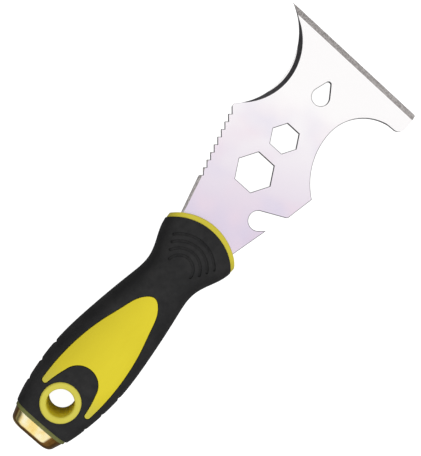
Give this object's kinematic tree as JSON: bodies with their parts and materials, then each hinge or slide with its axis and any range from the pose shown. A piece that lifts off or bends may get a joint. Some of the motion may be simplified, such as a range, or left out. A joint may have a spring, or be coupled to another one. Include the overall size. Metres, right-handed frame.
{
  "type": "painters multi tool",
  "caption": "Flat stainless scraper and putty knife with wrench openings, saw teeth, bottle opener and roller-cleaning notch, in a two-tone grip with a hang hole and hammer cap.",
  "frame": {"origin": "centre of the hang hole, on the middle plane of the blade", "axes": "+X along the tool to the scraping edge, +Y to the side with the saw teeth and the pointed corner, +Z out of the front face of the blade, along the hang hole"},
  "size_m": [0.2192, 0.0752, 0.0266],
  "materials": {
    "stainless_steel": "cold-rolled stainless, finely polished, with ground edges",
    "core_plastic": "moulded polypropylene, satin yellow",
    "grip_rubber": "matte black thermoplastic rubber with a fine moulded grain",
    "inlay_plastic": "moulded polypropylene, satin yellow",
    "sleeve_plastic": "moulded polypropylene, satin yellow",
    "cap_brass": "brass-plated steel, polished",
    "pin_steel": "ground steel pin"
  },
  "bodies": {
    "root": {"blade": "stainless_steel", "handle_core": "core_plastic", "grip_overmould": "grip_rubber", "front_inlay": "inlay_plastic", "back_inlay": "inlay_plastic", "hang_hole_sleeve": "sleeve_plastic", "hammer_cap": "cap_brass", "cap_pins": "pin_steel"}
  },
  "joints": []
}
